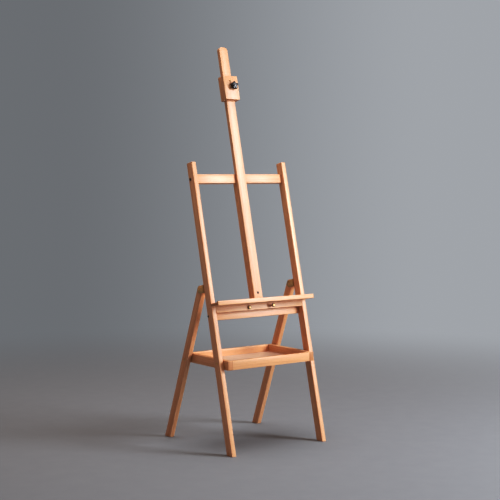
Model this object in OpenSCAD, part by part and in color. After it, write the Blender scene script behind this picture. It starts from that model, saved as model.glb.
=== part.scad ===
// Wooden artist easel: two leaning front legs joined by rails, a sliding mast
// with a canvas clamp, a fixed canvas ledge, hinged rear legs and a storage tray.
// Millimetres. +X to the sitter's right, +Y to the back, +Z up.
// The origin is on the floor, in the middle of the footprint.

/* [Footprint and lean] */
// Outer width of the legs
base_width = 440; // [420:1:470]
// Front-to-back spread of the feet
base_depth = 445; // [435:1:455]
// Backward lean of the front frame, degrees
lean = 13.6; // [13:0.1:14.2]
// Slope of the rear legs, degrees
rear_slope = 20.9; // [20.5:0.1:21.3]
// Height of the rear-leg hinge axis
hinge_z = 585.3; // [583:0.5:590]

/* [Timber] */
// Leg thickness seen from the front
leg_w = 19; // [18:0.5:21]
// Leg depth front to back
leg_d = 33; // [32:0.5:35]
// Length of the front legs
front_len = 1088; // [1070:1:1120]
// Small bevel on long edges
edge = 1.2; // [0.6:0.1:2]

/* [Mast] */
// Mast width
mast_w = 39.4; // [36:0.2:42]
// Mast thickness
mast_t = 15; // [14:0.5:15]
// Mast top, measured up the lean with the mast lowered
mast_top = 1542; // [1500:1:1560]
// Mast bottom, measured up the lean
mast_bot = 557.5; // [557:0.5:562]
// Travel of the mast
mast_travel = 410; // [380:1:410]

/* [Rails and ledge] */
// Upper crossbar, lower edge up the lean
bar_s0 = 1009; // [1000:1:1015]
// Height of the upper crossbar
bar_h = 34; // [30:1:40]
// Setback of the upper crossbar face
bar_n = 12; // [10:0.5:12.5]
// Lower rail, lower edge up the lean
rail_s0 = 497; // [492:1:500]
// Lower rail height
rail_h = 43.7; // [43:0.1:43.7]
// Lower rail thickness
rail_t = 9; // [8:0.5:9]
// Ledge apron, lower edge up the lean
apron_s0 = 521.5; // [518:0.5:524]
// Underside of the ledge plate up the lean
plate_s0 = 545; // [544:0.5:546]
// Ledge plate thickness
plate_t = 11; // [10:0.5:11.5]
// Ledge plate depth
plate_d = 42; // [38:1:48]
// Ledge width
ledge_w = 447; // [441:1:470]
// Lip height
lip_h = 16.5; // [15:0.5:20]
// Lip thickness
lip_t = 8.3; // [7:0.1:10]

/* [Canvas clamp] */
// Clamp width
clamp_w = 66; // [62:1:72]
// Clamp height
clamp_h = 93; // [86:1:100]
// Clamp lower edge up the lean
clamp_s0 = 1329; // [1325:0.5:1332]
// Thickness of the clamp front
clamp_t = 18; // [16:0.5:20]

/* [Tray] */
// Outer width of the tray
tray_w = 398; // [396:1:398]
// Front face of the tray
tray_y0 = -170; // [-175:1:-160]
// Back face of the tray
tray_y1 = 98; // [97:1:100]
// Underside of the tray sides
tray_z0 = 303.5; // [302:0.5:305]
// Height of the tray sides
tray_h = 34; // [32:1:36]
// Thickness of the tray sides
side_t = 19; // [17:0.5:20]
// Thickness of the tray front and back
end_t = 12; // [10:0.5:14]

/* [Hidden] */
$fn = 40;
half = base_width / 2;
leg_x = half - leg_w / 2;
inner = half - leg_w;
pivot_y = base_depth / 2 - leg_d / 2 / cos(rear_slope) - hinge_z * tan(rear_slope);
// hinge axis in the leaning frame: s up the lean, n forward of the leg faces
hinge_s = (pivot_y + base_depth / 2) * sin(lean) + hinge_z * cos(lean);
hinge_n = -(pivot_y + base_depth / 2) * cos(lean) + hinge_z * sin(lean);
tray_pivot_d = 290;
tray_py = pivot_y + tray_pivot_d * sin(rear_slope);
tray_pz = hinge_z - tray_pivot_d * cos(rear_slope);
mast_n = -1.3;
mast_back = mast_n - mast_t;
batten_n = mast_back - 0.3;
notch_w = mast_w + 0.6;
bolt_s = 585;
slot_w = 6.8;
wear_gap = 0.3;
bracket_t = 1.6;
ear_x = leg_w / 2 + 0.4;
web_h = 30;
web_hole = 9.5;
ear_r = 13;
pin_r = 3;
bore_r = 3.05;
bar_bolt_s = bar_s0 + bar_h / 2;
bar_bolt_n = -(bar_n + leg_d) / 2;
rail_bolt_s = rail_s0 + 17;
rail_bolt_n = -leg_d + rail_t / 2;
rest_s = 338.4;
rest_n = -leg_d / 2;
thumb_x = 52;
thumb_s = 532;
knob_x = 7;
knob_s = 1382;
clamp_front_n = mast_n + wear_gap + clamp_t;
cheek_d = mast_t + 2 * wear_gap;
cheek_n = mast_n + wear_gap - cheek_d;
cheek_w = (clamp_w - mast_w) / 2 - wear_gap;
clamp_back_w = clamp_w - 10;
clamp_hole = 24;
floor_t = 4;
wood_front = [0.91, 0.72, 0.50];
wood_rail = [0.88, 0.67, 0.44];
wood_rear = [0.86, 0.64, 0.42];
brass = [0.72, 0.56, 0.30];
dark_steel = [0.25, 0.23, 0.22];
black = [0.05, 0.05, 0.06];

// leaning frame: local +Z runs up the front legs, local +Y straight back from
// their front faces
module leaned() {
  translate([0, -base_depth / 2, 0]) rotate([-lean, 0, 0]) children();
}

// rear-leg frame: origin on the hinge axis, local +Z up the rear leg
module rear_frame(x) {
  translate([x, pivot_y, hinge_z]) rotate([rear_slope, 0, 0]) children();
}

// a bar with bevelled long edges running along Z
module bar_z(w, d, h, e = edge) {
  linear_extrude(height = h)
    polygon([[-w / 2 + e, 0], [w / 2 - e, 0], [w / 2, e], [w / 2, d - e],
      [w / 2 - e, d], [-w / 2 + e, d], [-w / 2, d - e], [-w / 2, e]]);
}

// a bar with bevelled long edges running along X, centred on X
module bar_x(l, d, h, e = edge) {
  translate([-l / 2, 0, 0]) rotate([90, 0, 90]) linear_extrude(height = l)
    polygon([[e, 0], [d - e, 0], [d, e], [d, h - e], [d - e, h], [e, h],
      [0, h - e], [0, e]]);
}

// a cylinder along X from x0 to x1 at local y, z
module rod_x(x0, x1, r, y, z, f = 40) {
  translate([x0, y, z]) rotate([0, 90, 0]) cylinder(r = r, h = x1 - x0, $fn = f);
}

// a cylinder along Y from y0 to y1 at local x, z
module rod_y(y0, y1, r, x, z, f = 40) {
  translate([x, y0, z]) rotate([-90, 0, 0]) cylinder(r = r, h = y1 - y0, $fn = f);
}

// a shallow domed head, flat side at z = 0
module dome(r, h) {
  sr = (r * r + h * h) / (2 * h);
  intersection() {
    translate([0, 0, h - sr]) sphere(r = sr, $fn = 48);
    cylinder(r = r, h = h + 1, $fn = 40);
  }
}

// front legs: square across the top, cut level at the floor
module front_leg(sx) {
  x = sx * leg_x;
  color(wood_front) difference() {
    leaned() translate([x, 0, -20]) bar_z(leg_w, leg_d, front_len + 20);
    translate([-500, -500, -100]) cube([1000, 1000, 100]);
    leaned() {
      rod_x(x - 20, x + 20, 3, -bar_bolt_n, bar_bolt_s);
      rod_x(x - 20, x + 20, 2.1, -rail_bolt_n, rail_bolt_s);
      rod_x(x - 20, x + 20, 2.6, -rest_n, rest_s);
      for (k = [-web_hole, web_hole])
        rod_y(leg_d - 16, leg_d + 1, 1.8, x, hinge_s + k, 24);
    }
  }
}

// upper crossbar, housed in front to guide the mast
module upper_crossbar() {
  color(wood_rail) leaned() difference() {
    translate([0, bar_n, bar_s0]) bar_x(2 * inner, leg_d - bar_n, bar_h);
    translate([-notch_w / 2, bar_n - 5, bar_s0 - 1])
      cube([notch_w, -batten_n - bar_n + 5, bar_h + 2]);
    for (s = [-1, 1])
      rod_x(min(s * (inner - 32), s * (inner + 1)), max(s * (inner - 32), s * (inner + 1)),
        3, -bar_bolt_n, bar_bolt_s);
  }
}

// centre batten behind the mast, slotted for the mast bolt
module centre_batten() {
  color(wood_rail) leaned() difference() {
    translate([0, -batten_n, rail_s0 + rail_h])
      bar_z(mast_w, leg_d + batten_n, bar_s0 - rail_s0 - rail_h, 0.8);
    translate([-slot_w / 2, 10, bolt_s]) cube([slot_w, 30, mast_travel]);
    rod_y(10, 40, slot_w / 2, 0, bolt_s);
    rod_y(10, 40, slot_w / 2, 0, bolt_s + mast_travel);
  }
}

// lower rail between the front legs
module lower_rail() {
  color(wood_rail) leaned() difference() {
    translate([0, leg_d - rail_t, rail_s0]) bar_x(2 * inner, rail_t, rail_h, 0.8);
    for (s = [-1, 1]) {
      rod_x(min(s * (inner - 30), s * (inner + 1)), max(s * (inner - 30), s * (inner + 1)),
        2.1, -rail_bolt_n, rail_bolt_s);
      rod_y(leg_d - rail_t - 1, leg_d + 1, bore_r, s * thumb_x, thumb_s);
    }
  }
}

// ledge apron, flush with the leg fronts and housed for the batten foot
module ledge_apron() {
  d = leg_d - rail_t - 0.1;
  h = plate_s0 + plate_t - apron_s0;
  color(wood_front) leaned() difference() {
    translate([0, 0, apron_s0]) bar_x(2 * inner - 0.6, d, h, 0.8);
    translate([-notch_w / 2, -batten_n - 0.1, rail_s0 + rail_h - 0.3])
      cube([notch_w, 20, 40]);
    for (s = [-1, 1]) rod_y(-1, d + 1, bore_r, s * thumb_x, thumb_s);
  }
}

// flat ledge plate in front of the legs
module ledge_plate() {
  color(wood_rail) leaned()
    translate([0, -plate_d, plate_s0]) bar_x(ledge_w, plate_d, plate_t, 0.8);
}

// raised lip along the front of the ledge
module ledge_lip() {
  color(wood_front) leaned()
    translate([0, -plate_d - lip_t, plate_s0 - 2]) bar_x(ledge_w, lip_t, lip_h, 1.4);
}

// brass thumb screws through apron and rail, knurled round heads
module thumb_screw(sx, gap) {
  color(brass) leaned() translate([sx * thumb_x, 0, thumb_s]) rotate([90, 0, 0]) {
    translate([0, 0, gap]) difference() {
      cylinder(r = 7.5, h = 5, $fn = 48);
      for (i = [0:17]) rotate([0, 0, i * 20]) translate([7.9, 0, 1])
        cylinder(r = 0.8, h = 3, $fn = 8);
    }
    translate([0, 0, gap + 5]) dome(6.4, 2);
    translate([0, 0, -leg_d + 0.5]) cylinder(r = pin_r, h = leg_d + gap, $fn = 32);
  }
}

// bolts through the legs into the crossbar ends
module crossbar_bolts() {
  color(dark_steel) leaned() for (s = [-1, 1]) {
    rod_x(min(s * (inner - 31), s * half), max(s * (inner - 31), s * half), 3,
      -bar_bolt_n, bar_bolt_s);
    translate([s * half, -bar_bolt_n, bar_bolt_s]) rotate([0, s * 90, 0]) difference() {
      dome(6, 3);
      translate([0, 0, 1.6]) cylinder(r = 2.3, h = 4, $fn = 6);
    }
  }
}

// screws through the legs into the lower rail ends
module rail_screws() {
  color(dark_steel) leaned() for (s = [-1, 1]) {
    rod_x(min(s * (inner - 29), s * half), max(s * (inner - 29), s * half), 2.1,
      -rail_bolt_n, rail_bolt_s);
    translate([s * half, -rail_bolt_n, rail_bolt_s]) rotate([0, s * 90, 0]) difference() {
      dome(4.2, 2.2);
      translate([-3, -0.45, 1.1]) cube([6, 0.9, 3]);
      translate([-0.45, -3, 1.1]) cube([0.9, 6, 3]);
    }
  }
}

// folded brass bracket: web on the leg's back, an ear either side of the rear leg
module hinge_bracket(sx) {
  reach = -hinge_n - leg_d;
  tang = acos(ear_r / sqrt(reach * reach + web_h * web_h / 4));
  lead = atan2(web_h / 2, -reach);
  a = lead - tang;
  color(brass) leaned() translate([sx * leg_x, leg_d, hinge_s]) difference() {
    union() {
      translate([-ear_x - bracket_t, 0, -web_h / 2])
        cube([2 * (ear_x + bracket_t), bracket_t, web_h]);
      for (e = [-1, 1]) translate([e > 0 ? ear_x : -ear_x - bracket_t, 0, 0]) {
        rotate([90, 0, 90]) linear_extrude(height = bracket_t)
          polygon([[0, -web_h / 2], [0, web_h / 2],
            [reach + ear_r * cos(a), ear_r * sin(a)],
            [reach + ear_r * cos(a), -ear_r * sin(a)]]);
        rod_x(0, bracket_t, ear_r, reach, 0, 48);
      }
    }
    rod_x(-20, 20, pin_r, reach, 0);
    for (k = [-web_hole, web_hole]) rod_y(-1, bracket_t + 1, 1.8, 0, k, 24);
  }
}

// screws holding the brackets to the front legs
module bracket_screws() {
  color(brass) leaned() for (s = [-1, 1]) for (k = [-web_hole, web_hole])
    translate([s * leg_x, leg_d, hinge_s + k]) rotate([-90, 0, 0]) {
      translate([0, 0, -15]) cylinder(r = 1.8, h = 15 + bracket_t, $fn = 24);
      translate([0, 0, bracket_t]) difference() {
        dome(3.6, 1.9);
        translate([-2.6, -0.4, 1]) cube([5.2, 0.8, 3]);
        translate([-0.4, -2.6, 1]) cube([0.8, 5.2, 3]);
      }
    }
}

// hinge pins through the bracket ears and rear-leg tops
module hinge_pin(sx) {
  o = ear_x + bracket_t;
  color(brass) leaned() translate([sx * leg_x, -hinge_n, hinge_s]) {
    rod_x(-o, o, pin_r, 0, 0);
    for (e = [-1, 1]) translate([e * o, 0, 0]) rotate([0, e * 90, 0]) difference() {
      dome(6, 2.2);
      translate([-3.8, -0.6, 1.2]) cube([7.6, 1.2, 3]);
      translate([-0.6, -3.8, 1.2]) cube([1.2, 7.6, 3]);
    }
  }
}

// screws through the front legs at the tray's front end
module tray_front_screws() {
  color(brass) leaned() for (s = [-1, 1]) {
    rod_x(min(s * (inner - 1.6), s * half), max(s * (inner - 1.6), s * half), 2.6,
      -rest_n, rest_s);
    translate([s * half, -rest_n, rest_s]) rotate([0, s * 90, 0]) difference() {
      dome(5.2, 2.4);
      translate([-3.4, -0.5, 1.2]) cube([6.8, 1, 3]);
      translate([-0.5, -3.4, 1.2]) cube([1, 6.8, 3]);
    }
  }
}

// sliding mast with rounded top corners
module mast() {
  r = 14;
  h = mast_top - mast_bot;
  w = mast_w / 2;
  color(wood_front) leaned() difference() {
    translate([0, -mast_n, mast_bot]) intersection() {
      bar_z(mast_w, mast_t, h, 1);
      union() {
        translate([-w, -1, 0]) cube([mast_w, mast_t + 2, h - r]);
        translate([-w + r, -1, 0]) cube([mast_w - 2 * r, mast_t + 2, h]);
        for (e = [-1, 1]) rod_y(-1, mast_t + 1, r, e * (w - r), h - r, 48);
      }
    }
    rod_y(-5, 20, pin_r, 0, bolt_s);
  }
}

// carriage bolt through the mast and the batten slot
module mast_bolt() {
  color(dark_steel) leaned() translate([0, -mast_n, bolt_s]) rotate([90, 0, 0]) {
    dome(4.8, 2);
    translate([0, 0, -mast_t - 29.5]) cylinder(r = pin_r, h = mast_t + 29.5, $fn = 32);
  }
}

// washer behind the batten
module mast_washer() {
  color(dark_steel) leaned() difference() {
    rod_y(leg_d + 0.2, leg_d + 1.7, 8.5, 0, bolt_s, 40);
    rod_y(leg_d, leg_d + 2, pin_r, 0, bolt_s);
  }
}

// five-lobed star knob, axis along +Z, hub face at z = 0
module star(bore) {
  difference() {
    union() {
      cylinder(r = 8, h = 5, $fn = 40);
      translate([0, 0, 4]) cylinder(r = 15.8, h = 12, $fn = 64);
      translate([0, 0, 15]) cylinder(r = 9, h = 2.4, $fn = 40);
    }
    for (i = [0:4]) rotate([0, 0, 54 + i * 72]) translate([17.6, 0, 3])
      cylinder(r = 6.4, h = 14, $fn = 32);
    translate([0, 0, -1]) cylinder(r = bore, h = 13, $fn = 32);
  }
}

// small five-lobed lock knob on the mast bolt, behind the batten
module mast_lock_knob() {
  color(black) leaned() translate([0, leg_d + 2, bolt_s]) rotate([-90, 0, 0]) difference() {
    union() {
      cylinder(r = 6, h = 4, $fn = 40);
      translate([0, 0, 3]) cylinder(r = 10.5, h = 8, $fn = 56);
      translate([0, 0, 10.5]) cylinder(r = 6, h = 1.5, $fn = 40);
    }
    for (i = [0:4]) rotate([0, 0, 54 + i * 72]) translate([11.9, 0, 2])
      cylinder(r = 4.2, h = 10, $fn = 28);
    translate([0, 0, -1]) cylinder(r = bore_r, h = 20, $fn = 32);
  }
}

// thick clamp front with a rebate along its lower back edge
module clamp_front() {
  color(wood_front) leaned() difference() {
    translate([0, -clamp_front_n, clamp_s0]) bar_z(clamp_w, clamp_t, clamp_h, 1.2);
    rod_y(-40, 20, bore_r, knob_x, knob_s);
    rod_y(-40, 20, 1.6, -1, clamp_s0 + 75.5);
    for (sx = [-1, 1]) for (k = [20, 73])
      rod_y(cheek_n + 10, 20, 1.6, sx * clamp_hole, clamp_s0 + k, 20);
  }
}

// cheeks either side of the mast
module clamp_cheek(sx) {
  x = sx * (clamp_w / 2 - cheek_w / 2);
  color(wood_rail) leaned() difference() {
    translate([x, -mast_n - wear_gap, clamp_s0]) bar_z(cheek_w, cheek_d, clamp_h, 0.4);
    for (k = [20, 73]) rod_y(-10, 40, 1.6, sx * clamp_hole, clamp_s0 + k, 20);
  }
}

// thin back plate of the clamp
module clamp_back() {
  color(wood_rail) leaned() difference() {
    translate([0, -cheek_n, clamp_s0]) bar_z(clamp_back_w, 6, clamp_h, 0.8);
    for (sx = [-1, 1]) for (k = [20, 73])
      rod_y(0, 40, 1.6, sx * clamp_hole, clamp_s0 + k, 20);
  }
}

// round-head screw on the clamp front
module clamp_screw() {
  color(brass) leaned() translate([-1, -clamp_front_n, clamp_s0 + 75.5]) rotate([90, 0, 0]) {
    translate([0, 0, -14]) cylinder(r = 1.6, h = 14, $fn = 24);
    difference() {
      dome(4.4, 2.6);
      translate([-3, -0.45, 1.4]) cube([6, 0.9, 3]);
    }
  }
}

// screws joining the clamp back, cheeks and front
module clamp_back_screws() {
  color(brass) leaned() for (sx = [-1, 1]) for (k = [20, 73])
    translate([sx * clamp_hole, -cheek_n + 6, clamp_s0 + k])
      rotate([-90, 0, 0]) {
        translate([0, 0, -28]) cylinder(r = 1.6, h = 28, $fn = 20);
        difference() {
          dome(3.4, 1.8);
          translate([-2.4, -0.4, 0.9]) cube([4.8, 0.8, 3]);
        }
      }
}

// clamp star knob in front
module star_knob() {
  color(black) leaned() translate([knob_x, -clamp_front_n - wear_gap, knob_s])
    rotate([90, 0, 0]) star(pin_r);
}

// threaded stud of the star knob
module star_stud() {
  color(dark_steel) leaned()
    rod_y(-clamp_front_n - wear_gap - 12, -mast_n - wear_gap, pin_r, knob_x, knob_s, 32);
}

// rear legs: rounded at the hinge, cut level at the floor
module rear_leg(sx) {
  x = sx * leg_x;
  r = leg_d / 2;
  color(wood_rear) difference() {
    rear_frame(x) {
      translate([0, -r, -680]) bar_z(leg_w, leg_d, 680);
      rod_x(-leg_w / 2, leg_w / 2, r, 0, 0, 64);
    }
    rear_frame(x) {
      rod_x(-20, 20, bore_r, 0, 0);
      rod_x(-20, 20, bore_r, 0, -tray_pivot_d);
    }
    translate([-500, -500, -100]) cube([1000, 1000, 100]);
  }
}

// tray sides run front to back, pivoting on the rear legs
module tray_side(sx) {
  x = sx * (tray_w / 2 - side_t / 2);
  c = 2;
  color(wood_rail) difference() {
    translate([x - side_t / 2, 0, 0]) rotate([90, 0, 90]) linear_extrude(height = side_t)
      polygon([[tray_y0 + c, tray_z0], [tray_y1 - 5, tray_z0], [tray_y1, tray_z0 + 5],
        [tray_y1, tray_z0 + tray_h - 5], [tray_y1 - 5, tray_z0 + tray_h],
        [tray_y0 + c, tray_z0 + tray_h], [tray_y0, tray_z0 + tray_h - c],
        [tray_y0, tray_z0 + c]]);
    rod_x(x - 20, x + 20, pin_r, tray_py, tray_pz);
  }
}

// tray front and back boards between the sides
module tray_end(y) {
  color(wood_rail) translate([0, y, tray_z0]) bar_x(tray_w - 2 * side_t, end_t, tray_h, 0.8);
}

// thin tray floor
module tray_floor() {
  color(wood_rear) translate([-tray_w / 2 + side_t, tray_y0 + end_t, tray_z0 + 3])
    cube([tray_w - 2 * side_t, tray_y1 - tray_y0 - 2 * end_t, floor_t]);
}

// screws on which the tray turns, through the rear legs into the tray sides
module tray_pivot(sx) {
  x0 = tray_w / 2 - side_t + 1;
  color(brass) {
    rod_x(min(sx * x0, sx * (half + wear_gap)), max(sx * x0, sx * (half + wear_gap)),
      pin_r, tray_py, tray_pz);
    translate([sx * (half + wear_gap), tray_py, tray_pz]) rotate([0, sx * 90, 0]) difference() {
      dome(5.4, 2.6);
      translate([-3.6, -0.5, 1.3]) cube([7.2, 1, 3]);
      translate([-0.5, -3.6, 1.3]) cube([1, 7.2, 3]);
    }
  }
}

front_leg(-1);  // front_leg_left
front_leg(1);  // front_leg_right
upper_crossbar();
centre_batten();
lower_rail();
ledge_apron();
ledge_plate();
ledge_lip();
thumb_screw(-1, 0.4);  // thumb_screw_left
thumb_screw(1, 11.5);  // thumb_screw_right
crossbar_bolts();
rail_screws();
hinge_bracket(-1);  // hinge_bracket_left
hinge_bracket(1);  // hinge_bracket_right
bracket_screws();
hinge_pin(-1);  // hinge_pin_left
hinge_pin(1);  // hinge_pin_right
tray_front_screws();
mast();
mast_bolt();
mast_washer();
mast_lock_knob();
clamp_front();
clamp_cheek(-1);  // clamp_cheek_left
clamp_cheek(1);  // clamp_cheek_right
clamp_back();
clamp_screw();
clamp_back_screws();
star_knob();
star_stud();
rear_leg(-1);  // rear_leg_left
rear_leg(1);  // rear_leg_right
tray_side(-1);  // tray_side_left
tray_side(1);  // tray_side_right
tray_end(tray_y0);  // tray_front
tray_end(tray_y1 - end_t);  // tray_back
tray_floor();
tray_pivot(-1);  // tray_pivot_left
tray_pivot(1);  // tray_pivot_right
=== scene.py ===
import math

import bmesh
import bpy
from mathutils import Matrix, Vector


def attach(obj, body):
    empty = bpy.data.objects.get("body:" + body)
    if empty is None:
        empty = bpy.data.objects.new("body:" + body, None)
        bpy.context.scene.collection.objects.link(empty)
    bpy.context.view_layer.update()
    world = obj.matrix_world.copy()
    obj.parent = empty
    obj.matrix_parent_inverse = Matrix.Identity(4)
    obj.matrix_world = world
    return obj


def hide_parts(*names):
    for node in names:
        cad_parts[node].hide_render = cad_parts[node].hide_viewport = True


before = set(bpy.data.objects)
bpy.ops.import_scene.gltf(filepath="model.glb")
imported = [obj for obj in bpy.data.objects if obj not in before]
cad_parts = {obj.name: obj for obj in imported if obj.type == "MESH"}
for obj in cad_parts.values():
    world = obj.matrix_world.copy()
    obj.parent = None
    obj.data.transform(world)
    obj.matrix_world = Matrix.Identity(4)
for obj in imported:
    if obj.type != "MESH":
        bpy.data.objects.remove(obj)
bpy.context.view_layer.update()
scene = bpy.context.scene
MM = 0.001

# ------------------------------------------------------------------ dimensions, millimetres
BASE_W, BASE_D, LEAN, REAR, HINGE_Z = 440.0, 445.0, 13.6, 20.9, 585.3
LEG_W, LEG_D, FRONT_LEN = 19.0, 33.0, 1088.0
HALF = BASE_W / 2
LEG_X = HALF - LEG_W / 2
INNER = HALF - LEG_W
SA, CA = math.sin(math.radians(LEAN)), math.cos(math.radians(LEAN))
SB, CB = math.sin(math.radians(REAR)), math.cos(math.radians(REAR))
PIVOT_Y = BASE_D / 2 - LEG_D / 2 / CB - HINGE_Z * SB / CB
HINGE_S = (PIVOT_Y + BASE_D / 2) * SA + HINGE_Z * CA
HINGE_N = -(PIVOT_Y + BASE_D / 2) * CA + HINGE_Z * SA
TRAY_D = 290.0
TRAY_PY, TRAY_PZ = PIVOT_Y + TRAY_D * SB, HINGE_Z - TRAY_D * CB
MAST_W, MAST_T, MAST_N, MAST_S0, MAST_S1 = 39.4, 15.0, -1.3, 557.5, 1542.0
MAST_BACK = MAST_N - MAST_T
BATTEN_N = MAST_BACK - 0.3
BAR_S0, BAR_H, BAR_N = 1009.0, 34.0, 12.0
RAIL_S0, RAIL_H, RAIL_T = 497.0, 43.7, 9.0
APRON_S0, PLATE_S0, PLATE_T, PLATE_D = 521.5, 545.0, 11.0, 42.0
LEDGE_W, LIP_H, LIP_T = 447.0, 16.5, 8.3
CL_W, CL_H, CL_S0, CL_T = 66.0, 93.0, 1329.0, 18.0
CL_FN = MAST_N + 0.3 + CL_T
CHEEK_D = MAST_T + 0.6
CHEEK_N = MAST_N + 0.3 - CHEEK_D
CHEEK_W = (CL_W - MAST_W) / 2 - 0.3
BOLT_S, SLOT_W, TRAVEL = 585.0, 6.8, 410.0
TRAY_W, TY0, TY1, TZ0, TH = 398.0, -170.0, 98.0, 303.5, 34.0
SIDE_T, END_T = 19.0, 12.0
KNOB_X, KNOB_S = 7.0, 1382.0
CL_BACK_W, CL_HOLE = 56.0, 24.0

LEANED = Matrix.Translation((0, -BASE_D / 2 * MM, 0)) @ Matrix.Rotation(math.radians(-LEAN), 4, "X")
FLAT = Matrix.Identity(4)


def rear_frame(x):
    return Matrix.Translation((x * MM, PIVOT_Y * MM, HINGE_Z * MM)) @ Matrix.Rotation(math.radians(REAR), 4, "X")


# ------------------------------------------------------------------ node helpers
class Tree:
    """A material's node tree with short calls for the maths."""

    def __init__(self, name):
        self.mat = bpy.data.materials.new(name)
        self.mat.use_nodes = True
        self.t = self.mat.node_tree
        self.t.nodes.clear()
        self.out = self.t.nodes.new("ShaderNodeOutputMaterial")
        self.bsdf = self.t.nodes.new("ShaderNodeBsdfPrincipled")
        self.link(self.bsdf.outputs[0], self.out.inputs[0])

    def link(self, a, b):
        self.t.links.new(a, b)

    def put(self, sock, v):
        if isinstance(v, bpy.types.NodeSocket):
            self.link(v, sock)
        else:
            sock.default_value = v

    def math(self, op, a, b=0.0, c=0.0, clamp=False):
        n = self.t.nodes.new("ShaderNodeMath")
        n.operation = op
        n.use_clamp = clamp
        for i, v in enumerate((a, b, c)):
            if i < len(n.inputs):
                self.put(n.inputs[i], v)
        return n.outputs[0]

    def vmath(self, op, a, b=(0, 0, 0)):
        n = self.t.nodes.new("ShaderNodeVectorMath")
        n.operation = op
        self.put(n.inputs[0], a)
        self.put(n.inputs[1], b)
        return n.outputs["Value"] if op in ("DOT_PRODUCT", "LENGTH", "DISTANCE") else n.outputs[0]

    def object_co(self):
        return self.t.nodes.new("ShaderNodeTexCoord").outputs["Object"]

    def normal_co(self):
        return self.t.nodes.new("ShaderNodeTexCoord").outputs["Normal"]

    def mapping(self, v, loc=(0, 0, 0), rot=(0, 0, 0), scale=(1, 1, 1)):
        n = self.t.nodes.new("ShaderNodeMapping")
        self.put(n.inputs["Vector"], v)
        n.inputs["Location"].default_value = loc
        n.inputs["Rotation"].default_value = rot
        n.inputs["Scale"].default_value = scale
        return n.outputs[0]

    def noise(self, v, scale, detail=3.0, rough=0.5, distort=0.0):
        n = self.t.nodes.new("ShaderNodeTexNoise")
        self.put(n.inputs["Vector"], v)
        n.inputs["Scale"].default_value = scale
        n.inputs["Detail"].default_value = detail
        n.inputs["Roughness"].default_value = rough
        n.inputs["Distortion"].default_value = distort
        return n.outputs[0]

    def voronoi(self, v, scale, feature="F1"):
        n = self.t.nodes.new("ShaderNodeTexVoronoi")
        n.feature = feature
        self.put(n.inputs["Vector"], v)
        n.inputs["Scale"].default_value = scale
        return n

    def ramp(self, f, stops, mode="EASE"):
        n = self.t.nodes.new("ShaderNodeValToRGB")
        n.color_ramp.interpolation = mode
        self.put(n.inputs[0], f)
        e = n.color_ramp.elements
        while len(e) < len(stops):
            e.new(0.5)
        for i, (p, c) in enumerate(stops):
            e[i].position = p
            e[i].color = (c, c, c, 1) if isinstance(c, (int, float)) else (*c, 1)
        return n.outputs[0]

    def smooth(self, f, a, b, lo=0.0, hi=1.0):
        n = self.t.nodes.new("ShaderNodeMapRange")
        n.interpolation_type = "SMOOTHSTEP"
        self.put(n.inputs[0], f)
        n.inputs[1].default_value, n.inputs[2].default_value = a, b
        n.inputs[3].default_value, n.inputs[4].default_value = lo, hi
        return n.outputs[0]

    def mix(self, f, a, b, mode="MIX"):
        n = self.t.nodes.new("ShaderNodeMix")
        n.data_type = "RGBA"
        n.blend_type = mode
        n.clamp_factor = True
        self.put(n.inputs[0], f)
        for sock, v in ((n.inputs[6], a), (n.inputs[7], b)):
            self.put(sock, v if isinstance(v, bpy.types.NodeSocket) else (*v, 1))
        return n.outputs[2]

    def sep(self, v):
        n = self.t.nodes.new("ShaderNodeSeparateXYZ")
        self.put(n.inputs[0], v)
        return n.outputs

    def comb(self, x, y, z):
        n = self.t.nodes.new("ShaderNodeCombineXYZ")
        for i, v in enumerate((x, y, z)):
            self.put(n.inputs[i], v)
        return n.outputs[0]

    def bump(self, h, strength, dist, normal=None):
        n = self.t.nodes.new("ShaderNodeBump")
        n.inputs["Strength"].default_value = strength
        n.inputs["Distance"].default_value = dist
        self.put(n.inputs["Height"], h)
        if normal is not None:
            self.put(n.inputs["Normal"], normal)
        return n.outputs[0]


def lin(r, g, b):
    """An 8-bit display colour as linear."""
    return tuple(((c / 255) / 12.92) if c <= 10.31 else ((c / 255 + 0.055) / 1.055) ** 2.4 for c in (r, g, b))


AXIS_ROT = {
    "Z": (0, 0, 0),
    "X": (0, math.radians(-90), 0),
    "Y": (math.radians(90), 0, 0),
}


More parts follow.
